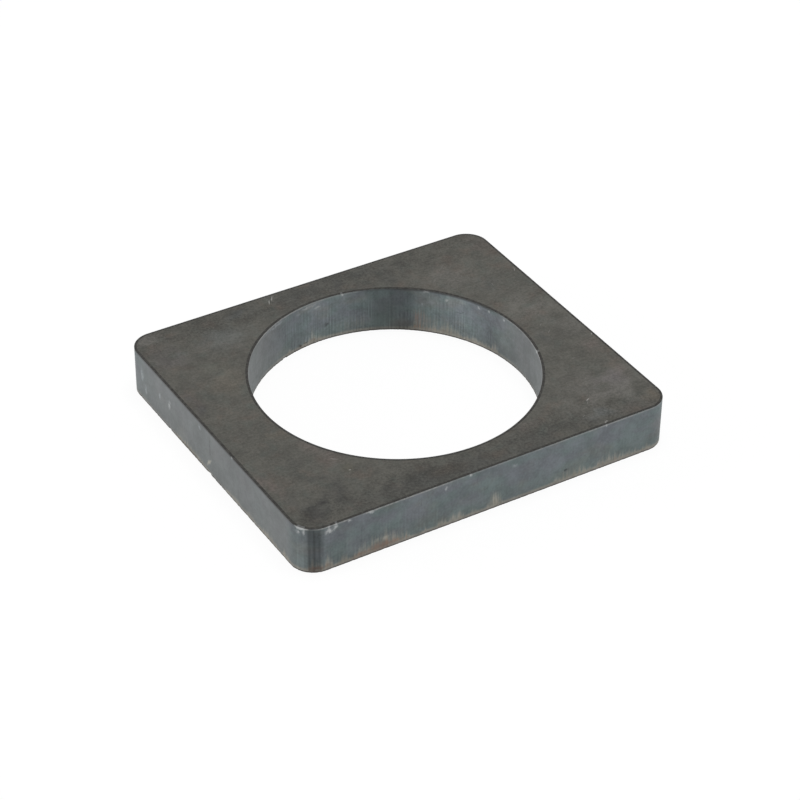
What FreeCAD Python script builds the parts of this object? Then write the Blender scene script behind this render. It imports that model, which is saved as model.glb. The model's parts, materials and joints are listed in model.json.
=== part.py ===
import FreeCAD, Part

import os

# Locking plate: one flat steel plate, cut from hot-rolled stock, with rounded corners and one large
# round bore through its middle. Its flat sides keep it from turning, its bore goes over a hub or neck.
#
# Sizes are in millimetres. The origin is on the bore's axis, at the underside. X runs along the
# plate's length, Y along its width, and Z up through its thickness.

# Driving sizes
plate_length = 80.0
plate_width = 69.8
plate_thickness = 10.0
corner_radius = 4.7
bore_radius = 28.1
top_edge_radius = 0.1
bottom_edge_radius = 0.1

# Height difference under which an edge counts as lying in a face
level_tolerance = 1e-4

parts_folder = "parts"


def is_upright(edge):
    """True for an edge that runs straight up through the whole thickness."""
    return abs(edge.BoundBox.ZLength - plate_thickness) < level_tolerance


def lies_at_height(edge, height):
    """True for an edge whose every point is at this height."""
    box = edge.BoundBox
    return abs(box.ZMin - height) < level_tolerance and abs(box.ZMax - height) < level_tolerance


def rounded_blank():
    """The flat blank, centred on the bore's axis, with its four upright corners rounded."""
    front_left_foot = FreeCAD.Vector(-plate_length / 2, -plate_width / 2, 0)
    blank = Part.makeBox(plate_length, plate_width, plate_thickness, front_left_foot)
    upright_edges = [edge for edge in blank.Edges if is_upright(edge)]
    return blank.makeFillet(corner_radius, upright_edges)


def bore_core():
    """The round core that is cut out of the blank, through both of its faces."""
    return Part.makeCylinder(bore_radius, plate_thickness)


def with_rounded_edges(plate):
    """Breaks the sharp edges round both faces: outline and bore rim, at the top and at the bottom."""
    top_edges = [edge for edge in plate.Edges if lies_at_height(edge, plate_thickness)]
    plate = plate.makeFillet(top_edge_radius, top_edges)
    bottom_edges = [edge for edge in plate.Edges if lies_at_height(edge, 0)]
    return plate.makeFillet(bottom_edge_radius, bottom_edges)


def locking_plate():
    """The whole plate as one solid."""
    bored_blank = rounded_blank().cut(bore_core())
    return with_rounded_edges(bored_blank).Solids[0]


os.makedirs(parts_folder, exist_ok=True)
plate = locking_plate()
plate.exportStep(parts_folder + "/locking_plate.step")
print("locking_plate: valid", plate.isValid(), "volume mm3", round(plate.Volume, 1))
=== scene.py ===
import json
import math
from collections import namedtuple

import bpy
import numpy as np
from mathutils import Matrix, Vector


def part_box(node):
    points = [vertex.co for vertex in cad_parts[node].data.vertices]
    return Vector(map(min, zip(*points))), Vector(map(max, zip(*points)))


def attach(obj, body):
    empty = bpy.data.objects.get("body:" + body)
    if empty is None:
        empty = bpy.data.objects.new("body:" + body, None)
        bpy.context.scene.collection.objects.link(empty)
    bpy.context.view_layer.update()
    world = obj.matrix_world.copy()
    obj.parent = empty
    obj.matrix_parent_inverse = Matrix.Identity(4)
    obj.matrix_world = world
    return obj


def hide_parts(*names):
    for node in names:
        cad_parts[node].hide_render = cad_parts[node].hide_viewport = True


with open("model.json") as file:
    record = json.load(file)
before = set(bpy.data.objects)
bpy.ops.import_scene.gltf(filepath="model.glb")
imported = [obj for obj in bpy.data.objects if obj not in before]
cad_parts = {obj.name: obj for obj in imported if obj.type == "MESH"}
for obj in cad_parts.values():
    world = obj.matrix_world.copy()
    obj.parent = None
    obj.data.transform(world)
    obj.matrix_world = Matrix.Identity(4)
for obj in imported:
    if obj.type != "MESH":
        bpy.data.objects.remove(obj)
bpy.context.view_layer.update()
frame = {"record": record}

# A locking plate: one flat piece of hot-rolled steel plate with rounded corners and a large round
# bore, cut by heat. The rolled faces keep their dark warm-grey mill scale. The cut walls are
# blue-grey, with fine upright cutting lines and tan and brown heat tint along their lower edge.
# The sharp edges are burnt dark. Lengths are in metres, and those written with MM are millimetres.

MM = 0.001
NODE = "locking_plate"

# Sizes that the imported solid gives
low_corner, high_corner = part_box(NODE)
plate_length, plate_width, plate_thickness = high_corner - low_corner
bore_mount = next(mount for mount in frame["record"]["mounts"] if mount["name"] == "bore")
bore_radius = bore_mount["dims"]["r_mm"] * MM

# Sizes that the solid's source gives and its box doesn't
corner_radius = 4.7 * MM
edge_radius = 0.1 * MM

# How finely the plate's skin is divided: columns round the plate, rows across each part of its section
columns = 1880
wall_rows = 14
top_edge_steps = 3
bottom_edge_steps = 2
face_blends = (0.2, 0.5, 0.8)

# How far the dark burnt line at the top edges reaches in over the face
outline_burnt_reach = 0.5 * MM
bore_burnt_reach = 0.54 * MM

# The cut's waves: width of an irregular cutting line, of one in a comb and of a slow wave, how deep they
# go, and how far they drift sideways on the way up, in radians of their own wave
cutting_line_width = (0.5 * MM, 2.2 * MM)
comb_line_width = (0.45 * MM, 0.95 * MM)
slow_wave_width = (7 * MM, 40 * MM)
cutting_line_depth = 0.02 * MM
slow_wave_depth = 0.01 * MM
cutting_line_drift = 2.5
comb_drift = 1.5
slow_wave_drift = 0.6
waves_in_a_sum = 40
wave_strengths = (0.4, 1.0)
random_seed = 11

# The lines' depth at the foot and at the top of a wall, as a share of their own depth
line_share_at_foot = 1.5
line_share_at_top = 0.5

# The ragged foot of a wall, and how far up from the foot and down from the top its marks reach
ragged_wave_width = (0.5 * MM, 3 * MM)
ragged_foot_depth = 0.05 * MM
foot_height = 1.0 * MM
nick_height = 0.7 * MM

# How much the irregular lines stand out where there is no comb, and how much that varies along a wall
usual_line_strength = 0.18
line_strength_waver = 0.1

# How much weaker the lines and the mottling are where a wall is plain
plain_wall_calm = 0.25

# How ragged the top of the heat tint is, as a share of its height, and the reach that is added to it
# where it divides, so that no column divides by nothing
heat_raggedness = 0.125
least_heat_reach = 0.1 * MM

# A mark has its full amount where the nearness is above this
full_nearness = 0.8


# Marks along the walls

half_x, half_y = plate_length / MM / 2, plate_width / MM / 2

# A mark at a place in plan, in millimetres: how far it reaches to each side, how strong it is, and how
# red, if it is heat
WallMark = namedtuple("WallMark", "place half_width amount redness", defaults=(0,))


def on_front(x):
    return x, -half_y


def on_back(x):
    return x, half_y


def on_left(y):
    return -half_x, y


def on_right(y):
    return half_x, y


def on_near_corner(turn):
    """Place on the rounded corner between the left and the front wall, by its outward direction in
    degrees from +X."""
    radius = corner_radius / MM
    direction = math.radians(turn)
    return (radius - half_x + radius * math.cos(direction),
            radius - half_y + radius * math.sin(direction))


def in_bore(turn):
    """Place on the bore's wall, by its direction from the bore's axis, in degrees from +X."""
    direction = math.radians(turn)
    return bore_radius / MM * math.cos(direction), bore_radius / MM * math.sin(direction)


# About the middle of the rounded corner between the front and the right wall
middle_of_right_corner = (half_x - 1.4, 1.4 - half_y)


def wall_marks(*walls):
    """Marks out of lists, one for each wall: the function that finds a place on it, and then for each
    mark its place, half width, amount and, for heat, redness."""
    return tuple(WallMark(wall(place), *rest) for wall, *marks in walls for place, *rest in marks)


# All marks, by what they change
outline_marks = {}
bore_marks = {}

# Tongues of heat tint that lick up the outer walls: the amount is their height
outline_marks["heat"] = wall_marks(
    (on_near_corner, (245, 2.4, 2, 1)),
    (on_front,
     (-35, 1.4, 2.2, 0.5),
     (-31.6, 2.2, 1.3, 0.3),
     (-27.4, 3, 2.1, 1),
     (-23.6, 4.6, 2.9, 1),
     (-20, 2.8, 2, 1),
     (-14.6, 1.1, 1, 0.2),
     (-11, 2, 1.3, 0.5),
     (-7.8, 2.2, 1.6, 0.2),
     (-4.2, 1.6, 1.3, 0.2),
     (0.4, 2.2, 2.7, 0.1),
     (17.5, 6, 1.7, 0.2),
     (26, 4.5, 1.9, 0.5),
     (30.5, 4, 1.2, 0.4),
     (34.8, 2, 1.2, 0.5)),
    (on_left,
     (-28.5, 2.2, 1.3, 0.2),
     (-22, 5, 1.2, 0.1),
     (-15, 3, 1, 0),
     (-9, 5, 0.9, 0),
     (8, 9, 1.1, 0)),
    (on_right,
     (-22, 5, 1.9, 0.4),
     (-9, 4, 1.3, 0.2),
     (4.5, 6, 2.5, 0.7),
     (21, 4, 1.5, 0.3)),
    (on_back,
     (-27, 6, 1.8, 0.5),
     (-12, 4, 1.2, 0.1),
     (3, 5, 2.4, 0.6),
     (16.5, 3, 1.4, 0.2),
     (30, 5, 2, 0.8)),
)
bore_marks["heat"] = wall_marks(
    (in_bore,
     (107, 1.4, 1.2, 0.3),
     (95, 4.2, 1.2, 1),
     (94.5, 0.8, 2.6, 0.4),
     (49, 2.6, 2.2, 1),
     (41, 3.4, 1.5, 0.7),
     (35.5, 3, 2.2, 0.1),
     (22, 5.5, 1.1, 0.5),
     (14, 1.2, 2, 0.2),
     (-52, 5, 1.6, 0.4),
     (-80, 4, 2.3, 0.6),
     (-118, 6, 1.5, 0.2),
     (-150, 4.5, 2, 0.5),
     (172, 4, 1.3, 0.2)),
)

# Upright streaks and stretches of the walls that are paler (above 0) or darker (below 0, down to -1)
# than their own colour: the amount is how pale or how dark. Where they overlap, they add up. Some are
# the walls' own uneven tone. The dark band round the near corner, about 236 to 250 degrees, is painted
# shade, a painted reflection of the dark gap between the side lamps. The same painted shade lies in
# the bore, and the pale bore stretches beside it are painted light.
outline_marks["tones"] = wall_marks(
    (on_near_corner,
     (243.5, 2, -0.56),
     (250, 0.9, -0.42),
     (236.5, 0.8, -0.46),
     (189, 1.3, -0.25)),
    (on_left, (-4, 14, -0.1)),
    (on_front,
     (-29, 9, -0.2),
     (17, 9, 0.1)),
    (on_back,
     (37.6, 2.4, -0.5),
     (10, 16, -0.12)),
    (on_right, (-14, 12, -0.1)),
) + (WallMark(middle_of_right_corner, 5, -0.15),)
# In the bore, the dark stretches at 50 to 66 degrees are painted shade, and the pale ones at 35 and 84
# degrees are painted light.
bore_marks["tones"] = wall_marks(
    (in_bore,
     (135, 12, 0.25),
     (84, 9, 0.52),
     (66, 8, -0.46),
     (56.5, 3, -0.1),
     (50, 4, -0.3),
     (35, 9, 0.8),
     (-2, 9, 0.25),
     (-112, 6, -0.4),
     (-160, 8, -0.15)),
)

# Stretches where the thin pale line under the top edge is clearer (above 0), or is lost in a dark lip
# (below 0). Where they overlap, they add up.
outline_marks["bare_lines"] = wall_marks(
    (on_left, (0, 40, -1.2)),
    (on_near_corner, (213, 1.6, 2.2)),
    (on_front,
     (-34, 4, 1),
     (-25.8, 1.8, 1.4),
     (-17, 9, 0.6),
     (24, 12, 0.3)),
    (on_left, (20, 8, 0.4)),
    (on_right, (5, 12, 0.6)),
    (on_back, (-10, 14, 0.6)),
)
bore_marks["bare_lines"] = wall_marks(
    (in_bore,
     (35, 14, -0.9),
     (64, 6, -0.6),
     (116, 8, 2.4),
     (96, 4, 0.6),
     (-18, 5, 0.6),
     (-100, 12, 0.6)),
)

# Nicks knocked into the top edges: the amount is their depth
outline_marks["nicks"] = wall_marks(
    (on_near_corner,
     (206, 0.6, 0.1),
     (216, 0.7, 0.1)),
    (on_front,
     (-34.6, 0.5, 0.08),
     (-33.1, 0.4, 0.1),
     (-30.4, 0.4, 0.07),
     (-26, 0.9, 0.07),
     (-4.9, 0.35, 0.08),
     (22.7, 0.25, 0.06),
     (24.9, 0.3, 0.08)),
    (on_left, (-8.4, 0.45, 0.06)),
)
bore_marks["nicks"] = wall_marks(
    (in_bore,
     (81.2, 0.4, 0.1),
     (-17.3, 0.5, 0.1)),
)

# Notches in the foot of the walls, where the cut has broken out: the amount is their depth
outline_marks["foot_notches"] = wall_marks(
    (on_left,
     (16.9, 0.5, 0.08),
     (0.8, 0.7, 0.13),
     (-14, 0.6, 0.04)),
    (on_back, (21, 0.7, 0.15)),
    (on_right, (-24, 0.6, 0.15)),
)
bore_marks["foot_notches"] = wall_marks(
    (in_bore,
     (110, 0.6, 0.15),
     (-70, 0.7, 0.15)),
)

# Stretches where the cutting lines stand close together like the teeth of a comb: the amount is how
# much they stand out
outline_marks["combs"] = wall_marks(
    (on_front,
     (-23, 19, 0.48),
     (-3, 10, 0.22)),
    (on_near_corner, (240, 4, 0.8)),
    (on_right, (10, 20, 0.5)),
    (on_back, (-8, 30, 0.5)),
)
bore_marks["combs"] = wall_marks(
    (in_bore,
     (55, 24, 1),
     (92, 14, 1.1),
     (128, 10, 0.4),
     (-90, 30, 0.6)),
)

# Stretches whose wall is a plainer, warmer grey than the blue-grey of the rest: how much so, up to 1
outline_marks["plain_grey"] = wall_marks(
    (on_left,
     (2, 38, 1),
     (-24, 8, 1)),
    (on_back, (0, 40, 0.6)),
)
bore_marks["plain_grey"] = wall_marks(
    (in_bore,
     (150, 22, 1),
     (-30, 24, 1)),
)

# How strongly each wall is mottled
outline_marks["mottling"] = 0.85
bore_marks["mottling"] = 1


# The plate's skin

def walk_outline(share):
    """Core point and outward direction at each share (0 to 1) of the way round the plate's outline.

    The outline is a smaller rectangle grown by the corner radius: point = core + radius * direction.
    On a straight side the core point runs and the direction stands still. Round a corner the
    direction turns through a quarter circle and the core point stands still. The walk starts in the
    middle of the right side and runs against the clock."""
    run_x = plate_length / 2 - corner_radius
    run_y = plate_width / 2 - corner_radius
    corner = corner_radius * math.pi / 2
    stretches = [run_y, corner, 2 * run_x, corner, 2 * run_y, corner, 2 * run_x, corner, run_y]
    stations = np.concatenate([[0.0], np.cumsum(stretches)])
    core_x = [run_x, run_x, run_x, -run_x, -run_x, -run_x, -run_x, run_x, run_x, run_x]
    core_y = [0, run_y, run_y, run_y, run_y, -run_y, -run_y, -run_y, -run_y, 0]
    quarter_turns = [0, 0, 1, 1, 2, 2, 3, 3, 4, 4]
    walked = share * stations[-1]
    turn = np.interp(walked, stations, quarter_turns) * math.pi / 2
    core = np.stack([np.interp(walked, stations, core_x), np.interp(walked, stations, core_y)], axis=-1)
    return core, np.stack([np.cos(turn), np.sin(turn)], axis=-1), stations[-1]


def walk_bore(share):
    """Core point and direction at each share of the way round the bore: point = radius * direction,
    with direction = (cos turn, sin turn) and the turn in step with the share."""
    turn = share * 2 * math.pi
    direction = np.stack([np.cos(turn), np.sin(turn)], axis=-1)
    return np.zeros_like(direction), direction, 2 * math.pi * bore_radius


def wall_section(burnt_reach):
    """Inset from the wall and height, row by row, from the underside up over the wall to the top face.

    Each edge is a quarter circle: inset = r * (1 - cos a), distance to its face = r * (1 - sin a).
    Between them the wall goes straight up, with its rows closer together near both edges. The last
    row lies on the top face, where the burnt line ends."""
    bottom = np.linspace(math.pi / 2, 0, bottom_edge_steps + 1)
    top = np.linspace(0, math.pi / 2, top_edge_steps + 1)
    rise = 0.5 - 0.5 * np.cos(np.linspace(0, math.pi, wall_rows + 2)[1:-1])
    straight = plate_thickness - 2 * edge_radius
    inset = np.concatenate([
        edge_radius * (1 - np.cos(bottom)),
        np.zeros(wall_rows),
        edge_radius * (1 - np.cos(top)),
        [burnt_reach],
    ])
    height = np.concatenate([
        edge_radius * (1 - np.sin(bottom)),
        edge_radius + straight * rise,
        plate_thickness - edge_radius * (1 - np.sin(top)),
        [plate_thickness],
    ])
    return inset, height


def smooth_step(value, start, end):
    """Goes smoothly from 0, where value is at start, to 1, where it is at end: 3 t^2 - 2 t^3."""
    share = np.clip((value - start) / (end - start), 0, 1)
    return share * share * (3 - 2 * share)


def closed_waves(around, rise, path_length, widths, generator, drift):
    """Waves round a closed path, from about -1 to 1: the sum of cosines, each with a whole number of
    waves round the path, so that it meets itself, and each drifting sideways on the way up."""
    counts = np.unique(np.round(path_length / generator.uniform(*widths, waves_in_a_sum)))
    phases = generator.uniform(0, 2 * math.pi, len(counts))
    drifts = generator.uniform(-drift, drift, len(counts))
    strengths = generator.uniform(*wave_strengths, len(counts))
    angle = 2 * math.pi * counts * around[None, :, None] + phases + drifts * rise[:, None, None]
    total = (strengths * np.cos(angle)).sum(axis=-1)
    return np.clip(total / (2 * np.sqrt((strengths ** 2).sum() / 2)), -1, 1)


def nearness(wall, marks):
    """How near each column of a wall is to each mark: 1 - (distance / half width)^2, not below 0."""
    places = np.array([mark.place for mark in marks]) * MM
    half_widths = np.array([mark.half_width for mark in marks]) * MM
    apart = np.linalg.norm(wall[:, None] - places[None], axis=-1)
    return np.clip(1 - (apart / half_widths) ** 2, 0, 1)


def amounts_at(wall, marks):
    """How much of each mark each column has: amount * nearness, eased at its ends."""
    amounts = np.array([mark.amount for mark in marks])
    return amounts * smooth_step(nearness(wall, marks), 0, full_nearness)


def strongest(wall, marks):
    """The largest of the marks' amounts at each column."""
    return amounts_at(wall, marks).max(axis=-1)


def added_up(wall, marks):
    """The sum of the marks' amounts at each column."""
    return amounts_at(wall, marks).sum(axis=-1)


def heat_tint(wall, marks, ragged):
    """Height that the heat tint reaches at each column, and how red it is there.

    height = the largest of amount * nearness, made ragged by waves of up to an eighth of it;
    redness = the sum of redness * height over the marks / (the sum of their heights + a little)."""
    heights = np.array([mark.amount for mark in marks]) * MM * nearness(wall, marks)
    reds = np.array([mark.redness for mark in marks])
    redness = (heights * reds).sum(axis=-1) / (heights.sum(axis=-1) + least_heat_reach)
    return heights.max(axis=-1) * (1 + ragged * heat_raggedness), redness


def marked_wall(walk, radius, outward, burnt_reach, marks, generator):
    """One wall with both its edges, row by row: its points, and what each of them carries.

    Point = core + reach * direction, with reach = radius - outward * (inset + depth), so that a mark
    only ever takes metal away. depth = line depth * (1 + lines) / 2 + wave depth * (1 + waves) / 2
    + the nick's depth near the top + the ragged foot's and its notches' near the bottom. Lines are
    deeper low down, where the cut drags. lines = irregular ones * their usual strength, which is a
    quarter less where the wall is plain, + the comb * its strength. A nick also lowers the top edge by
    its own depth. The last row, on the face, stays as it is."""
    around = np.arange(columns) / columns
    inset, height = wall_section(burnt_reach)
    rise = height / plate_thickness
    core, direction, path_length = walk(around)
    wall = core + radius * direction
    level = np.zeros(1)
    waver = closed_waves(around, level, path_length, slow_wave_width, generator, drift=0)
    ragged = closed_waves(around, level, path_length, ragged_wave_width, generator, drift=0)[0]
    irregular = closed_waves(around, rise, path_length, cutting_line_width, generator, cutting_line_drift)
    comb = closed_waves(around, rise, path_length, comb_line_width, generator, comb_drift)
    waves = closed_waves(around, rise, path_length, slow_wave_width, generator, slow_wave_drift)
    plain_grey = strongest(wall, marks["plain_grey"])
    calm = 1 - plain_grey * plain_wall_calm
    usual_strength = usual_line_strength + line_strength_waver * waver
    lines = irregular * usual_strength * calm + comb * strongest(wall, marks["combs"])
    nicks = strongest(wall, marks["nicks"]) * MM
    near_top = smooth_step(height, plate_thickness - nick_height, plate_thickness)[:, None]
    near_top[-1] = 0
    near_foot = 1 - smooth_step(height, 0, foot_height)[:, None]
    foot_depth = ragged_foot_depth * np.clip(ragged, 0, 1) + strongest(wall, marks["foot_notches"]) * MM
    line_share = line_share_at_foot + (line_share_at_top - line_share_at_foot) * rise[:, None]
    depth = cutting_line_depth * line_share * (1 + np.clip(lines, -1, 1)) / 2
    depth = depth + slow_wave_depth * (1 + waves) / 2
    depth = depth + nicks * near_top + foot_depth * near_foot
    reach = radius - outward * (inset[:, None] + depth)
    flat = core[None] + reach[..., None] * direction[None]
    upright = height[:, None] - nicks * near_top
    heat_reach, heat_redness = heat_tint(wall, marks["heat"], ragged)
    carried = {
        "cutting_lines": lines,
        "heat_reach": heat_reach,
        "heat_redness": heat_redness,
        # The tone marks: the walls' own tone, with painted shade and painted light.
        "tone": added_up(wall, marks["tones"]),
        "bare_line": added_up(wall, marks["bare_lines"]),
        "nicks": nicks / MM,
        "plain_grey": plain_grey,
        "mottling": marks["mottling"] * calm,
    }
    values = {name: np.broadcast_to(value, lines.shape) for name, value in carried.items()}
    return np.concatenate([flat, upright[..., None]], axis=-1), values


def plate_skin():
    """The whole skin as one closed grid of rows and columns, and what each point of it carries.

    Section: up the outline's wall, in across the top face, down the bore's wall and out again across
    the underside. A face row is a blend of the outline's edge and the bore's."""
    generator = np.random.default_rng(random_seed)
    outer, outer_values = marked_wall(
        walk_outline, corner_radius, 1, outline_burnt_reach, outline_marks, generator)
    inner, inner_values = marked_wall(
        walk_bore, bore_radius, -1, bore_burnt_reach, bore_marks, generator)
    blends = np.array(face_blends)[:, None, None]
    top_face = outer[-1] * (1 - blends) + inner[-1] * blends
    underside = inner[0] * (1 - blends) + outer[0] * blends
    points = np.concatenate([outer, top_face, inner[::-1], underside])
    unmarked = np.zeros((len(face_blends), columns))
    values = {
        name: np.concatenate([outer_values[name], unmarked, inner_values[name][::-1], unmarked])
        for name in outer_values
    }
    return points, values


def finish_of_rows():
    """Which finish each strip between two rows of the skin has: 0 mill scale, 1 cut wall, 2 burnt edge.

    The lower part of the top edge's rounding still has the wall's finish."""
    mill_scale_face, cut, burnt = 0, 1, 2
    half_edge = top_edge_steps // 2
    cut_strips = bottom_edge_steps + wall_rows + 1 + half_edge
    burnt_strips = top_edge_steps - half_edge + 1
    wall = [cut] * cut_strips + [burnt] * burnt_strips
    face = [mill_scale_face] * (len(face_blends) + 1)
    return np.array(wall + face + wall[::-1] + face)


def grid_faces(row_count, column_count):
    """Quads of a grid that closes on itself both ways: corner numbers of every face, row by row."""
    row = np.arange(row_count)[:, None]
    column = np.arange(column_count)[None, :]
    next_row = (row + 1) % row_count
    next_column = (column + 1) % column_count
    corners = [row * column_count + column, row * column_count + next_column,
               next_row * column_count + next_column, next_row * column_count + column]
    return np.stack(corners, axis=-1).reshape(-1, 4)


def build_plate():
    """The plate as one mesh object, with its finishes by strip and its marks as point attributes."""
    points, values = plate_skin()
    row_count, column_count, _ = points.shape
    faces = grid_faces(row_count, column_count)
    mesh = bpy.data.meshes.new("steel_plate")
    mesh.from_pydata(points.reshape(-1, 3), [], faces)
    mesh.polygons.foreach_set("use_smooth", np.ones(len(faces), bool))
    mesh.polygons.foreach_set("material_index", np.repeat(finish_of_rows(), column_count))
    for name, value in values.items():
        attribute = mesh.attributes.new(name, "FLOAT", "POINT")
        attribute.data.foreach_set("value", value.reshape(-1).astype(np.float32))
    mesh.update()
    plate = bpy.data.objects.new("steel_plate", mesh)
    bpy.context.scene.collection.objects.link(plate)
    return plate


# Finishes

def srgb(red, green, blue):
    """A colour as it looks on screen, 0 to 255, turned into the linear values that a shader takes."""
    screen = np.array([red, green, blue]) / 255
    linear = np.where(screen <= 0.04045, screen / 12.92, ((screen + 0.055) / 1.055) ** 2.4)
    return (*linear, 1.0)


# A soft spot of colour: its middle and its half sizes along X, Y and Z in millimetres, its colour, how
# strong it is, up to 1, and how it is turned about X, Y and Z in degrees
Spot = namedtuple("Spot", "middle half_size colour strength turn", defaults=((0, 0, 0),))

# Which of a mix node's sockets belong to colours: its other ones have the same names
mix_share = 0
mix_first_colour = 6
mix_second_colour = 7
mix_colour = 2

# How far noise mostly swings to each side of its middle
noise_swing = 0.25


class Finish:
    """One material in the making, with a short word for each kind of node that its pattern needs."""

    def __init__(self, name, roughness, gloss):
        self.material = bpy.data.materials.new(name)
        self.material.use_nodes = True
        self.nodes = self.material.node_tree.nodes
        self.links = self.material.node_tree.links
        self.shader = self.nodes["Principled BSDF"]
        self.shader.inputs["Roughness"].default_value = roughness
        self.shader.inputs["Specular IOR Level"].default_value = gloss
        self.place = self.nodes.new("ShaderNodeTexCoord").outputs["Object"]

    def feed(self, socket, value):
        """Sets a socket to a constant, or links it to another node's output."""
        if isinstance(value, bpy.types.NodeSocket):
            self.links.new(value, socket)
        else:
            socket.default_value = value

    def stretched(self, scale, turn=0.0):
        """The object's own coordinates, scaled by (x, y, z) and turned about the upright axis."""
        node = self.nodes.new("ShaderNodeMapping")
        self.links.new(self.place, node.inputs["Vector"])
        node.inputs["Scale"].default_value = scale
        node.inputs["Rotation"].default_value = (0, 0, turn)
        return node.outputs["Vector"]

    def noise_node(self, place, scale, detail, roughness):
        node = self.nodes.new("ShaderNodeTexNoise")
        self.links.new(place, node.inputs["Vector"])
        node.inputs["Scale"].default_value = scale
        node.inputs["Detail"].default_value = detail
        node.inputs["Roughness"].default_value = roughness
        return node

    def noise(self, place, scale, detail=3.0, roughness=0.5):
        return self.noise_node(place, scale, detail, roughness).outputs["Fac"]

    def shifted(self, scale, distance):
        """The object's own coordinates, pushed about by noise, so that what is drawn there is uneven."""
        noise = self.noise_node(self.place, scale, detail=2, roughness=0.5).outputs["Color"]
        centred = self.vector_maths("SUBTRACT", noise, (0.5,) * 3)
        push = self.vector_maths("MULTIPLY", centred, (distance / noise_swing,) * 3)
        return self.vector_maths("ADD", self.place, push)

    def ease(self, value, start, end, low=0.0, high=1.0):
        """Goes smoothly from low, where value is at start, to high, where it is at end."""
        node = self.nodes.new("ShaderNodeMapRange")
        node.interpolation_type = "SMOOTHSTEP"
        self.feed(node.inputs["Value"], value)
        self.feed(node.inputs["From Min"], start)
        self.feed(node.inputs["From Max"], end)
        node.inputs["To Min"].default_value = low
        node.inputs["To Max"].default_value = high
        return node.outputs["Result"]

    def maths(self, operation, first, second=0.0):
        node = self.nodes.new("ShaderNodeMath")
        node.operation = operation
        self.feed(node.inputs[0], first)
        self.feed(node.inputs[1], second)
        return node.outputs["Value"]

    def times(self, first, second):
        return self.maths("MULTIPLY", first, second)

    def plus(self, first, second):
        return self.maths("ADD", first, second)

    def vector_maths(self, operation, first, second):
        node = self.nodes.new("ShaderNodeVectorMath")
        node.operation = operation
        self.feed(node.inputs[0], first)
        self.feed(node.inputs[1], second)
        return node.outputs["Vector"]

    def blend(self, share, first, second, mode="MIX"):
        """Mixes two colours by a share from 0 to 1."""
        node = self.nodes.new("ShaderNodeMix")
        node.data_type = "RGBA"
        node.blend_type = mode
        self.feed(node.inputs[mix_share], share)
        self.feed(node.inputs[mix_first_colour], first)
        self.feed(node.inputs[mix_second_colour], second)
        return node.outputs[mix_colour]

    def carried(self, name):
        """A value that the mesh's points carry."""
        node = self.nodes.new("ShaderNodeAttribute")
        node.attribute_name = name
        return node.outputs["Fac"]

    def along(self, axis):
        """One of the object's own coordinates. Z is the height above the underside."""
        node = self.nodes.new("ShaderNodeSeparateXYZ")
        self.links.new(self.place, node.inputs["Vector"])
        return node.outputs[axis]

    def spotted(self, colour, place, spots, breaks=1.0):
        """Lays soft spots over a colour, each an ellipsoid that fades out from its middle.

        The breaks, from 0 to 1, thin them out here and there."""
        for spot in spots:
            local = self.nodes.new("ShaderNodeMapping")
            local.vector_type = "TEXTURE"
            self.links.new(place, local.inputs["Vector"])
            local.inputs["Location"].default_value = Vector(spot.middle) * MM
            local.inputs["Rotation"].default_value = [math.radians(angle) for angle in spot.turn]
            local.inputs["Scale"].default_value = Vector(spot.half_size) * MM
            away = self.nodes.new("ShaderNodeVectorMath")
            away.operation = "LENGTH"
            self.links.new(local.outputs["Vector"], away.inputs[0])
            share = self.ease(away.outputs["Value"], 1, 0.1, 0, spot.strength)
            colour = self.blend(self.times(share, breaks), colour, spot.colour)
        return colour

    def bump(self, height, strength, distance):
        node = self.nodes.new("ShaderNodeBump")
        self.links.new(height, node.inputs["Height"])
        node.inputs["Strength"].default_value = strength
        node.inputs["Distance"].default_value = distance
        self.links.new(node.outputs["Normal"], self.shader.inputs["Normal"])


# Height of the top face in millimetres, and colours of its clouds
face_top = plate_thickness / MM
soot = srgb(56, 55, 54)
dark_grey = srgb(76, 76, 73)
dark_blue = srgb(78, 81, 82)
dark_brown = srgb(84, 78, 71)
dark_violet = srgb(74, 70, 74)
pale_grey = srgb(104, 102, 98)
pale_blue = srgb(97, 100, 99)
pale_green = srgb(93, 97, 89)
pale_violet = srgb(98, 93, 96)
pinkish = srgb(100, 92, 88)
warm = srgb(99, 93, 84)
olive = srgb(87, 84, 74)

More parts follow.
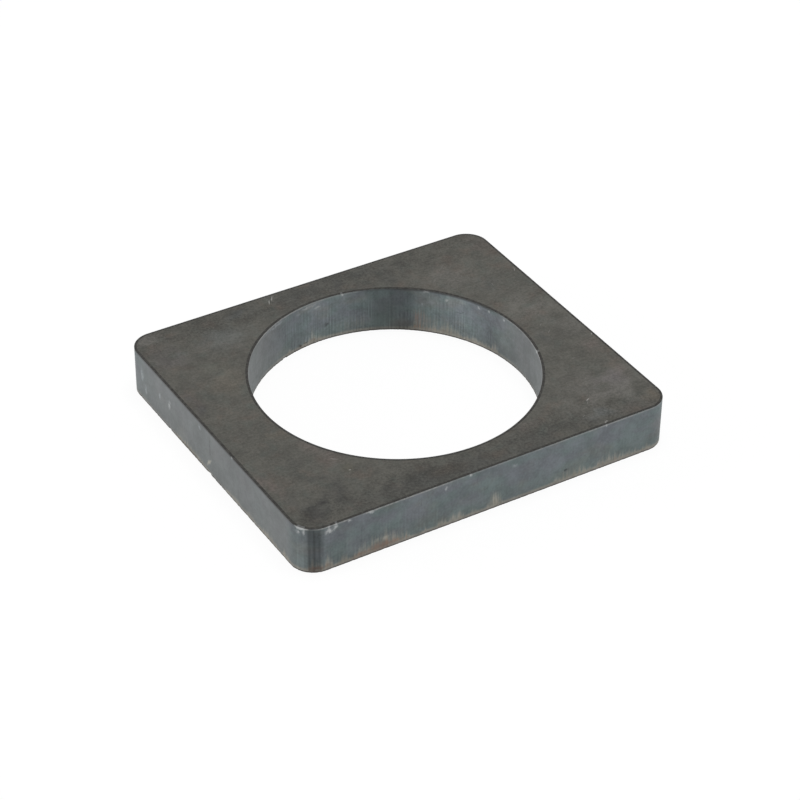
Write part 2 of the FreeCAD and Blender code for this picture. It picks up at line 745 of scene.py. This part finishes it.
# Broad clouds in the mill scale of the top face: middle, half sizes, colour, strength
face_clouds = (
    ((-35, -31), (4.6, 3.4), soot, 0.75),
    ((-38.5, 9), (2.4, 5.5), dark_violet, 0.5),
    ((-23.5, 26), (8, 6), pale_blue, 0.5),
    ((-29, 18), (4.5, 4), pale_green, 0.35),
    ((-30, 12), (6, 7), warm, 0.45),
    ((-36, 33), (5, 3), pale_grey, 0.8),
    ((-35, 25), (6, 7), pale_violet, 0.25),
    ((-17, 31), (4, 3.5), dark_blue, 0.7),
    ((-9.5, 33.5), (4, 2), pale_grey, 0.8),
    ((3, 31.5), (26, 7), dark_grey, 0.9),
    ((7, 30.5), (4.5, 3), soot, 0.4),
    ((15, 27), (4, 3), dark_grey, 0.7),
    ((26, 22), (7, 6), pale_grey, 0.5),
    ((38, 30), (3.5, 5.5), pinkish, 0.6),
    ((31, 16), (5, 5), dark_blue, 0.25),
    ((34.5, 5), (8, 9), pale_grey, 0.45),
    ((37, -4), (5, 6), pale_grey, 0.5),
    ((31, -5), (3, 4), dark_blue, 0.25),
    ((37, -12), (3.5, 4), pinkish, 0.6),
    ((31, -26), (15, 12), pale_grey, 0.72),
    ((37, -22), (3.5, 4), pinkish, 0.45),
    ((34, -23), (5, 5), pale_violet, 0.4),
    ((38, -31), (2.5, 4), warm, 0.9),
    ((-3, -32.5), (36, 5.5), dark_grey, 1),
    ((-8, -31.5), (6, 3), dark_brown, 0.6),
    ((-19, -31), (5, 2.5), dark_grey, 0.7),
    ((2.5, -32), (5, 2.5), dark_brown, 0.7),
    ((12, -28.5), (4, 2.5), pinkish, 0.4),
    ((26, -32), (5, 2.5), pale_blue, 0.6),
    ((-26, -13), (4, 4), pinkish, 0.6),
    ((-24, -17.5), (3.5, 3.5), pinkish, 0.5),
    ((-29, -6), (4, 4), warm, 0.6),
    ((-38.5, -20), (2.5, 7), pinkish, 0.7),
    ((-21, -22), (4, 4), olive, 0.6),
    ((-30, -16), (4, 4), dark_grey, 0.6),
    ((-31.5, -26.5), (10, 8), dark_grey, 1),
    ((-31, -25.5), (8, 6), soot, 0.4),
    ((-31.3, -29.1), (2, 0.9), soot, 0.8),
    ((-34.2, -29.6), (2.2, 1.3), soot, 0.5),
    ((-32.1, 31.5), (1.8, 1), dark_grey, 0.8),
)

# Colours of its fine marks
bare_scratch = srgb(168, 167, 164)
fresh_scratch = srgb(130, 129, 126)
pit = srgb(52, 51, 49)

# Fine marks on the top face: middle, half sizes, colour, strength, and turn in degrees where it has one
face_marks = (
    ((-9.6, 32.4), (1.1, 0.14), bare_scratch, 0.8, 58),
    ((-8.6, 33.3), (1.3, 0.12), bare_scratch, 0.7, 60),
    ((-23.3, -22.7), (0.35, 0.2), bare_scratch, 0.6, 20),
    ((-24.3, -18.4), (0.9, 0.14), bare_scratch, 0.6, -35),
    ((32.6, -4.1), (0.9, 0.1), fresh_scratch, 0.8, 40),
    ((32.6, -1.3), (0.7, 0.1), fresh_scratch, 0.7, 35),
    ((34.3, 2.3), (0.4, 0.3), pit, 0.7),
    ((26.3, -26.6), (0.8, 0.2), bare_scratch, 0.7, 30),
    ((25.7, -27.4), (1.1, 0.09), fresh_scratch, 0.5, 55),
    ((25.1, -34.3), (0.3, 0.3), bare_scratch, 0.6),
    ((26.5, 25.9), (1.8, 0.08), fresh_scratch, 0.5, 42),
    ((25.5, -34.1), (0.25, 0.2), bare_scratch, 0.8),
    ((24, -34.6), (0.25, 0.15), bare_scratch, 0.7),
    ((22.7, -30.6), (0.6, 0.15), fresh_scratch, 0.6, 20),
    ((31.7, -14), (0.7, 0.12), fresh_scratch, 0.5, 10),
    ((32.1, 15.7), (0.9, 0.12), fresh_scratch, 0.5, 80),
    ((38.9, 18), (1, 0.12), bare_scratch, 0.5, 70),
    ((39.3, -8.9), (0.5, 0.2), bare_scratch, 0.7, 60),
)

# Colours of the marks on the walls
bare_steel = srgb(190, 193, 193)
rubbed = srgb(150, 156, 158)
pale_smudge = srgb(150, 150, 143)
wall_pit = srgb(60, 64, 64)
cool_foot = srgb(106, 113, 111)
pink_tan = srgb(138, 120, 111)
burnt_brown = srgb(62, 52, 46)
# A darker green-grey, laid as painted shade over the bore's painted dark band
green_and_painted_shade = srgb(82, 92, 87)
brown_foot = srgb(100, 93, 86)
red_brown = srgb(132, 109, 95)
rust = srgb(96, 80, 72)
pale_tan = srgb(176, 173, 161)


def on_bore_wall(turn, height, half_size, colour, strength):
    """A spot on the bore's wall: half sizes along the wall and upright."""
    along, upright = half_size
    return Spot((*in_bore(turn), height), (along, along, upright), colour, strength)


# Scuffs and worn patches on the walls, which are broken up
wall_scuffs = (
    Spot((-34.5, -half_y, 8.8), (1.3, 1, 1), bare_steel, 0.9, (0, 8, 0)),
    Spot((-33.4, -half_y, 9.2), (1, 1, 0.5), bare_steel, 0.9),
    Spot((-30.4, -half_y, 9.3), (0.7, 1, 0.4), bare_steel, 0.7),
    Spot((-26, -half_y, 9.6), (1.4, 1, 0.3), bare_steel, 0.5),
    Spot((4.7, -half_y, 8.1), (0.9, 1, 0.7), rubbed, 0.9),
    Spot((-20, -half_y, 6.3), (0.25, 1, 1.4), rubbed, 0.35),
    Spot((-15.5, -half_y, 7.5), (0.2, 1, 1.6), wall_pit, 0.3),
    Spot((*on_near_corner(206), 8.9), (0.6, 0.6, 0.7), bare_steel, 0.8),
    Spot((*on_near_corner(219), 8.9), (0.4, 0.4, 0.7), bare_steel, 0.7),
    Spot((*on_near_corner(248), 8.6), (1.2, 1.2, 1.1), wall_pit, 0.6),
    Spot((-half_x, 28.3, 5.9), (1, 0.9, 2), rubbed, 0.9),
    Spot((-half_x, 26.9, 3), (1, 0.5, 1.6), rubbed, 0.8),
    Spot((-half_x, 20.7, 5.4), (1, 0.6, 1.2), rubbed, 0.8),
    Spot((-half_x, 16.8, 5.9), (1, 0.7, 1.7), bare_steel, 0.6, (14, 0, 0)),
    Spot((-half_x, 4.3, 8.6), (1, 0.9, 0.5), rubbed, 0.8, (35, 0, 0)),
    Spot((-half_x, 0.3, 6.3), (1, 0.5, 4), wall_pit, 0.35),
    Spot((-half_x, 11.5, 2.6), (1, 3, 2), pale_smudge, 0.2),
    Spot((-16.3, -half_y, 0.8), (0.9, 1, 0.9), cool_foot, 0.8),
    Spot((*on_near_corner(245), 0.9), (2.2, 2.2, 0.9), rust, 0.6),
    on_bore_wall(91.5, 0.8, (4.5, 0.8), cool_foot, 0.4),
    on_bore_wall(96.5, 9.2, (2.6, 0.5), bare_steel, 0.6),
    on_bore_wall(116, 9.3, (5.5, 0.5), rubbed, 0.9),
    on_bore_wall(31.5, 6.3, (1.6, 0.15), wall_pit, 0.6),
    on_bore_wall(44, 7.4, (1.5, 1.2), rubbed, 0.5),
    on_bore_wall(60.8, 8.6, (0.8, 0.7), wall_pit, 0.6),
    on_bore_wall(46.2, 9.8, (1.1, 0.35), bare_steel, 0.7),
    Spot((half_x, 12, 6.2), (1, 0.8, 1.6), rubbed, 0.8),
    Spot((half_x, -15, 7.6), (1, 1.1, 0.5), bare_steel, 0.5, (25, 0, 0)),
    Spot((-18, half_y, 5.4), (0.9, 1, 1.8), rubbed, 0.8),
    Spot((9, half_y, 8.3), (1, 1, 0.5), bare_steel, 0.5),
)

# Specks and stains on the walls, and a patch of painted shade in the bore, which are whole
wall_specks = (
    Spot((-10.3, -half_y, 8.8), (0.5, 1, 0.5), bare_steel, 0.6),
    Spot((-4.9, -half_y, 9.6), (0.5, 1, 0.4), bare_steel, 0.7),
    Spot((16.1, -half_y, 2.7), (0.4, 1, 0.5), wall_pit, 0.9, (0, 25, 0)),
    Spot((*on_near_corner(213), 9.75), (1.5, 1.5, 0.35), bare_steel, 0.75),
    Spot((-24, -half_y, 1.1), (4.2, 1, 1.6), red_brown, 0.45),
    Spot((-28.6, -half_y, 0.8), (2.6, 1, 0.9), red_brown, 0.35),
    Spot((-half_x, 9, 0.3), (1, 9.5, 0.6), burnt_brown, 0.6),
    Spot((-half_x, -0.1, 0.4), (1, 0.5, 0.5), pale_smudge, 0.8),
    Spot((-half_x, 0.9, 2.6), (1, 2.2, 0.5), pale_tan, 0.7, (-48, 0, 0)),
    on_bore_wall(92.3, 8.4, (1, 0.4), bare_steel, 0.6),
    on_bore_wall(101, 0.8, (0.8, 0.4), burnt_brown, 0.8),
    on_bore_wall(98.3, 1, (0.9, 0.3), burnt_brown, 0.6),
    # Painted shade: a darker green-grey over the bore's painted dark band near 63 degrees
    on_bore_wall(63, 5, (5, 6), green_and_painted_shade, 0.4),
    on_bore_wall(56.5, 1.6, (4, 1.8), brown_foot, 0.35),
    on_bore_wall(102, 8.6, (0.9, 0.4), rubbed, 0.4),
    on_bore_wall(81.2, 9.7, (0.45, 0.35), bare_steel, 0.9),
    on_bore_wall(88, 3.6, (1, 0.7), wall_pit, 0.6),
    on_bore_wall(47.6, 6.6, (0.3, 0.6), rubbed, 0.9),
    on_bore_wall(37.7, 8.5, (0.5, 0.5), bare_steel, 1),
    on_bore_wall(22.8, 9, (0.45, 0.35), bare_steel, 0.7),
    on_bore_wall(17.7, 9.2, (0.45, 0.45), bare_steel, 0.7),
    on_bore_wall(9.3, 9.3, (0.5, 0.4), bare_steel, 0.8),
    on_bore_wall(-17.3, 9.8, (0.7, 0.3), bare_steel, 0.6),
    on_bore_wall(30, 6.6, (0.5, 0.3), wall_pit, 0.4),
    Spot((25, half_y, 3.6), (0.6, 1, 0.5), wall_pit, 0.7),
)

# Pale flames of heat tint, which are broken up into fine upright streaks
wall_flames = (
    Spot((0.4, -half_y, 1.9), (1.9, 1, 2.1), pale_tan, 0.55),
    Spot((-7.8, -half_y, 1.2), (1.9, 1, 1.2), pale_tan, 0.4),
    Spot((26, -half_y, 1.2), (2.2, 1, 1.2), pale_tan, 0.4),
    Spot((-23.4, -half_y, 2.6), (2.8, 1, 0.8), pale_tan, 0.6),
    on_bore_wall(35.5, 1.2, (3, 1.2), pale_tan, 0.5),
    on_bore_wall(49, 3.4, (2, 3), pink_tan, 0.8),
    on_bore_wall(46, 3, (1.6, 2.4), pale_smudge, 0.4),
    on_bore_wall(41, 2.4, (4, 2.6), pale_smudge, 0.45),
    on_bore_wall(76, 2.2, (5, 2.4), pale_smudge, 0.35),
    Spot((half_x, 4.5, 1.4), (1, 2, 1.5), pale_tan, 0.5),
    Spot((3, half_y, 1.4), (1.8, 1, 1.4), pale_tan, 0.5),
)


def lying_on_face(marks):
    """Spots of the top face out of their places in plan: each is flat and turned about the upright axis."""
    return [Spot((x, y, face_top), (along, across, 1), colour, strength, (0, 0, *(turn or [0])))
            for (x, y), (along, across), colour, strength, *turn in marks]


# The mill scale turns darker and more broken between these distances from the plate's long middle line
side_strip_start = 25 * MM
side_strip_full = 31 * MM
scale_grey = srgb(84, 83, 78)
scale_brown = srgb(94, 83, 76)
scale_green = srgb(78, 86, 82)


def mill_scale():
    """Rolled faces: dark warm-grey scale with faint brown and green-grey clouds and a fine grain.

    It is a little darker and more broken along the two long sides."""
    finish = Finish("mill_scale", roughness=0.55, gloss=0.12)
    coarse = finish.noise(finish.place, 110, detail=2)
    middling = finish.noise(finish.place, 420, detail=3, roughness=0.6)
    grain = finish.noise(finish.place, 1900, detail=3, roughness=0.75)
    rolled = finish.noise(finish.stretched((0.15, 1, 1)), 1500, detail=2)
    pink_tint = finish.noise(finish.stretched((1, 1, 1), turn=0.6), 260, detail=3)
    green_tint = finish.noise(finish.stretched((1, 1, 1), turn=1.9), 330, detail=3)
    uneven = finish.plus(finish.times(coarse, 0.7), middling)
    uneven = finish.plus(uneven, finish.times(grain, 1.8))
    uneven = finish.plus(uneven, finish.times(rolled, 0.35))
    from_middle = finish.maths("ABSOLUTE", finish.along("Y"))
    side_strip = finish.ease(from_middle, side_strip_start, side_strip_full)
    contrast = finish.plus(finish.times(side_strip, 0.2), 1)
    mottling = finish.times(finish.ease(uneven, 1.35, 2.5, -0.3, 0.3), contrast)
    level = finish.maths("SUBTRACT", 1, finish.times(side_strip, 0.15))
    colour = finish.blend(finish.ease(pink_tint, 0.5, 0.8, 0, 0.45), scale_grey, scale_brown)
    colour = finish.blend(finish.ease(green_tint, 0.5, 0.8, 0, 0.4), colour, scale_green)
    colour = finish.spotted(colour, finish.shifted(150, 1.2 * MM), lying_on_face(face_clouds))
    colour = finish.blend(1, colour, finish.plus(mottling, level), "MULTIPLY")
    colour = finish.spotted(colour, finish.shifted(1200, 0.12 * MM), lying_on_face(face_marks))
    finish.feed(finish.shader.inputs["Base Color"], colour)
    finish.feed(finish.shader.inputs["Roughness"], finish.ease(coarse, 0.3, 0.7, 0.53, 0.6))
    finish.bump(grain, strength=0.2, distance=0.03 * MM)
    return finish.material


# Colours of the walls as they are cut, and of the heat tint on them
violet_grey = srgb(113, 118, 123)
teal_grey = srgb(109, 121, 121)
low_grey = srgb(109, 119, 117)
brown_grey = srgb(122, 119, 110)
plain_wall_grey = srgb(115, 117, 117)
tan = srgb(148, 145, 133)
red_tan = srgb(155, 134, 119)
cream = srgb(156, 154, 145)
pale_foot = srgb(151, 148, 140)
dark_foot = srgb(54, 49, 45)
pale_line = srgb(156, 157, 155)
dark_lip = srgb(66, 66, 64)

# Heights above the foot, or depths under the top, between which a wall's lines and marks fade in
dark_foot_fade = (0.38 * MM, 0.16 * MM)
pale_foot_fade = (1.15 * MM, 0.5 * MM)
pale_line_fade = (0.45 * MM, 0.25 * MM)
dark_lip_fade = (0.6 * MM, 0.15 * MM)
nick_fade = (0.75 * MM, 0.4 * MM)


def cut_wall():
    """Walls left by the cut: blue-grey with fine upright lines, heat tint low down, and their marks.

    A thin dark brown line runs along the very foot."""
    finish = Finish("cut_wall", roughness=0.6, gloss=0.2)
    height = finish.along("Z")
    streaks = finish.noise(finish.stretched((1, 1, 0.06)), 1500, detail=3)
    plainness = finish.carried("plain_grey")
    colour = unheated_wall(finish, height, plainness)
    colour = heated_wall(finish, colour, height, plainness)
    colour = finish.blend(1, colour, wall_shade(finish, height, streaks), "MULTIPLY")
    colour = finish.blend(finish.ease(height, *dark_foot_fade, 0, 0.95), colour, dark_foot)
    broken = finish.noise(finish.place, 1400, detail=2)
    colour = marked_top_edge(finish, colour, height, broken)
    colour = spotted_wall(finish, colour, broken)
    finish.feed(finish.shader.inputs["Base Color"], colour)
    finish.bump(streaks, strength=0.15, distance=0.02 * MM)
    return finish.material


def unheated_wall(finish, height, plainness):
    """A wall's own colour: clouds of violet-grey and teal-grey with a little brown, greener low down.

    A plain stretch is an even grey instead."""
    tint = finish.noise(finish.stretched((0.7, 0.7, 1.2)), 260, detail=3)
    brown_tint = finish.noise(finish.stretched((0.7, 0.7, 1.3), turn=0.7), 230, detail=3)
    colour = finish.blend(finish.ease(tint, 0.35, 0.65), violet_grey, teal_grey)
    colour = finish.blend(finish.ease(height, 6 * MM, 1 * MM, 0, 0.5), colour, low_grey)
    colour = finish.blend(finish.ease(brown_tint, 0.5, 0.75, 0, 0.3), colour, brown_grey)
    return finish.blend(finish.times(plainness, 0.8), colour, plain_wall_grey)


def heated_wall(finish, colour, height, plainness):
    """Lays the heat tint over a wall's colour, and a thin pale line along its foot.

    The tint covers a point by its share of the reach that its column carries: share = height / reach.
    It is tan or red-brown low down, then cream, then fades out in streaks."""
    fine_streaks = finish.noise(finish.stretched((1, 1, 0.08)), 2700, detail=2)
    uneven = finish.ease(fine_streaks, 0.3, 0.7, 0.75, 1.35)
    reach = finish.times(finish.carried("heat_reach"), uneven)
    share = finish.maths("DIVIDE", height, finish.plus(reach, least_heat_reach))
    tongue = finish.blend(finish.carried("heat_redness"), tan, red_tan)
    tongue = finish.blend(finish.ease(share, 0.4, 0.8), tongue, cream)
    streaky = finish.ease(fine_streaks, 0.38, 0.62, 0.5, 1)
    heat = finish.times(finish.ease(share, 1.5, 0.3, 0, 0.9), streaky)
    colour = finish.blend(heat, colour, tongue)
    foot_strength = finish.maths("SUBTRACT", 1, finish.times(plainness, 0.7))
    foot = finish.times(finish.ease(height, *pale_foot_fade, 0, 0.85), foot_strength)
    return finish.blend(foot, colour, pale_foot)


def wall_shade(finish, height, streaks):
    """How much paler or darker than its own colour a place on a wall is, as a factor.

    factor = (1 + mottling) * (1 + tone) * the lines' shade * the streaks' shade. The lines fade towards
    the top edge and break off here and there. The tone lies in streaks. It is partly the walls' own and
    partly painted shade and painted light, from the tone marks."""
    clouds = finish.times(finish.noise(finish.place, 140, detail=1), 1.6)
    mottle = finish.times(finish.noise(finish.place, 450, detail=3, roughness=0.6), 2.2)
    grain = finish.noise(finish.place, 2200, detail=2)
    uneven = finish.plus(finish.plus(clouds, mottle), finish.times(grain, 1.5))
    uneven = finish.ease(uneven, 1.65, 3.65, -0.25, 0.25)
    mottling = finish.times(uneven, finish.carried("mottling"))
    line_fade = finish.ease(height, 9 * MM, 2 * MM, 0.3, 1)
    stretches = finish.noise(finish.stretched((1, 1, 0.8)), 480, detail=2)
    line_strength = finish.times(line_fade, finish.ease(stretches, 0.35, 0.65, 0.1, 1.4))
    lines = finish.times(finish.carried("cutting_lines"), line_strength)
    lined = finish.ease(lines, -1.3, 1.3, 1.16, 0.84)
    streaked = finish.ease(streaks, 0.5, 0.75, 1, 0.975)
    # Painted shade and painted light from the tone marks, with the walls' own tone, in streaks.
    tone = finish.times(finish.carried("tone"), finish.ease(streaks, 0.3, 0.6, 0.56, 0.44))
    shade = finish.times(finish.plus(mottling, 1), finish.plus(tone, 1))
    return finish.times(shade, finish.times(lined, streaked))


def marked_top_edge(finish, colour, height, broken):
    """Lays the thin pale line, or the dark lip, and the bare nicks over a wall close under its top."""
    line = finish.carried("bare_line")
    bare = finish.times(finish.ease(line, -0.8, 0.9, 0, 1), under_top(finish, height, pale_line_fade))
    bare = finish.times(bare, finish.ease(broken, 0.4, 0.6, 0.5, 1))
    colour = finish.blend(bare, colour, pale_line)
    lip = finish.times(finish.ease(line, -0.1, -1, 0, 0.75), under_top(finish, height, dark_lip_fade))
    colour = finish.blend(lip, colour, dark_lip)
    nicked = finish.times(finish.carried("nicks"), finish.ease(broken, 0.35, 0.6, 0.3, 1))
    nicks = finish.times(finish.ease(nicked, 0.02, 0.1, 0, 0.7), under_top(finish, height, nick_fade))
    return finish.blend(nicks, colour, bare_steel)


def under_top(finish, height, fade):
    """1 close under the top face and 0 further down, with a fade between two depths under that face."""
    start, end = fade
    return finish.ease(height, plate_thickness - start, plate_thickness - end)


def spotted_wall(finish, colour, broken):
    """Lays the pale flames, the scuffs and the specks over a wall, each at a slightly uneven place."""
    place = finish.shifted(900, 0.25 * MM)
    flame_streaks = finish.noise(finish.stretched((1, 1, 0.05)), 4500, detail=1)
    flame_breaks = finish.ease(flame_streaks, 0.4, 0.6)
    scuff_breaks = finish.ease(broken, 0.38, 0.58, 0.25, 1)
    colour = finish.spotted(colour, place, wall_flames, flame_breaks)
    colour = finish.spotted(colour, place, wall_scuffs, scuff_breaks)
    return finish.spotted(colour, place, wall_specks)


# Colours of the burnt edges
burnt_black = srgb(46, 45, 43)
burnt_grey = srgb(70, 69, 66)


def burnt_edge():
    """The upper edges, burnt dark grey-brown by the cut, bare where they are nicked."""
    finish = Finish("burnt_edge", roughness=0.55, gloss=0.12)
    flecks = finish.noise(finish.place, 1500, detail=3)
    colour = finish.blend(finish.ease(flecks, 0.35, 0.75), burnt_black, burnt_grey)
    nicks = finish.ease(finish.carried("nicks"), 0.06, 0.16, 0, 0.5)
    colour = finish.blend(nicks, colour, bare_steel)
    finish.feed(finish.shader.inputs["Base Color"], colour)
    return finish.material


# Studio

camera_azimuth = math.radians(-31.5665)
camera_elevation = math.radians(35.9736)
camera_roll = math.radians(0.6916)
camera_distance = 500.93 * MM
camera_aim = Vector((-0.7234, -3.0142, 5.0)) * MM
camera_lens_mm = 117.79
sensor_mm = 36.0
camera_clip_start = 0.01

lamp_distance = 1.2
lamp_size = 0.6
floor_size = 6.0
floor_colour = srgb(245, 245, 245)
world_strength = 0.4

# What the camera and mirror-like reflections see of the floor: mostly its own white, and a little of
# the light that falls on it, which keeps the plate's shadow
seen_floor_glow = 0.92
seen_floor_colour = (0.09, 0.09, 0.09, 1.0)


def add_camera():
    """Camera at the photograph's place: it looks at the aim point from its azimuth, elevation and roll."""
    ahead = Vector((
        -math.sin(camera_azimuth) * math.cos(camera_elevation),
        math.cos(camera_azimuth) * math.cos(camera_elevation),
        -math.sin(camera_elevation),
    ))
    level_right = ahead.cross(Vector((0, 0, 1))).normalized()
    level_up = level_right.cross(ahead)
    right = math.cos(camera_roll) * level_right + math.sin(camera_roll) * level_up
    up = right.cross(ahead)
    turned = Matrix((right, up, -ahead)).transposed()
    data = bpy.data.cameras.new("camera")
    data.lens = camera_lens_mm
    data.sensor_width = sensor_mm
    data.clip_start = camera_clip_start
    camera = bpy.data.objects.new("camera", data)
    camera.matrix_world = Matrix.Translation(camera_aim - camera_distance * ahead) @ turned.to_4x4()
    bpy.context.scene.collection.objects.link(camera)
    bpy.context.scene.camera = camera


def add_softbox(name, azimuth, elevation, power):
    """A square soft lamp, aimed at the plate. Its azimuth is counted against the clock from +X."""
    data = bpy.data.lights.new(name, "AREA")
    data.shape = "SQUARE"
    data.size = lamp_size
    data.energy = power
    turn, lift = math.radians(azimuth), math.radians(elevation)
    towards = Vector((math.cos(turn) * math.cos(lift), math.sin(turn) * math.cos(lift), math.sin(lift)))
    lamp = bpy.data.objects.new(name, data)
    lamp.location = towards * lamp_distance
    lamp.rotation_euler = towards.to_track_quat("Z", "Y").to_euler()
    bpy.context.scene.collection.objects.link(lamp)


def seen_directly(nodes, links):
    """1 for what the camera sees, straight on or by a mirror or through glass, and 0 for lighting."""
    path = nodes.new("ShaderNodeLightPath")
    either = path.outputs["Is Camera Ray"]
    for kind in ("Is Glossy Ray", "Is Transmission Ray"):
        node = nodes.new("ShaderNodeMath")
        node.operation = "MAXIMUM"
        links.new(either, node.inputs[0])
        links.new(path.outputs[kind], node.inputs[1])
        either = node.outputs["Value"]
    return either


def add_world():
    """Faint even light from all round. What the camera sees of it is white."""
    world = bpy.data.worlds.new("studio")
    world.use_nodes = True
    nodes = world.node_tree.nodes
    links = world.node_tree.links
    background = nodes["Background"]
    strength = nodes.new("ShaderNodeMapRange")
    links.new(seen_directly(nodes, links), strength.inputs["Value"])
    strength.inputs["To Min"].default_value = world_strength
    strength.inputs["To Max"].default_value = 1.0
    links.new(strength.outputs["Result"], background.inputs["Strength"])
    background.inputs["Color"].default_value = (1, 1, 1, 1)
    bpy.context.scene.world = world


def floor_material():
    """A pale matt floor that is seen as white, with a faint shadow of what stands on it."""
    finish = Finish("floor", roughness=0.9, gloss=0)
    seen = seen_directly(finish.nodes, finish.links)
    finish.feed(finish.shader.inputs["Base Color"], finish.blend(seen, floor_colour, seen_floor_colour))
    finish.shader.inputs["Emission Color"].default_value = (1, 1, 1, 1)
    finish.feed(finish.shader.inputs["Emission Strength"], finish.times(seen, seen_floor_glow))
    return finish.material


def add_floor():
    """A plain floor at the plate's underside."""
    half = floor_size / 2
    corners = [(-half, -half, 0), (half, -half, 0), (half, half, 0), (-half, half, 0)]
    mesh = bpy.data.meshes.new("floor")
    mesh.from_pydata(corners, [], [(0, 1, 2, 3)])
    mesh.materials.append(floor_material())
    floor = bpy.data.objects.new("floor", mesh)
    bpy.context.scene.collection.objects.link(floor)


def add_studio():
    """The photograph's camera, a floor and a world that are seen as white, and three soft lamps."""
    bpy.context.scene.view_settings.view_transform = "Standard"
    add_camera()
    add_world()
    add_floor()
    add_softbox("left_softbox", azimuth=150, elevation=12, power=5.5)
    add_softbox("right_softbox", azimuth=330, elevation=12, power=2.5)
    add_softbox("overhead_softbox", azimuth=0, elevation=85, power=7.3)


plate = build_plate()
for finish_material in (mill_scale(), cut_wall(), burnt_edge()):
    plate.data.materials.append(finish_material)
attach(plate, "root")
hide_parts(NODE)
add_studio()
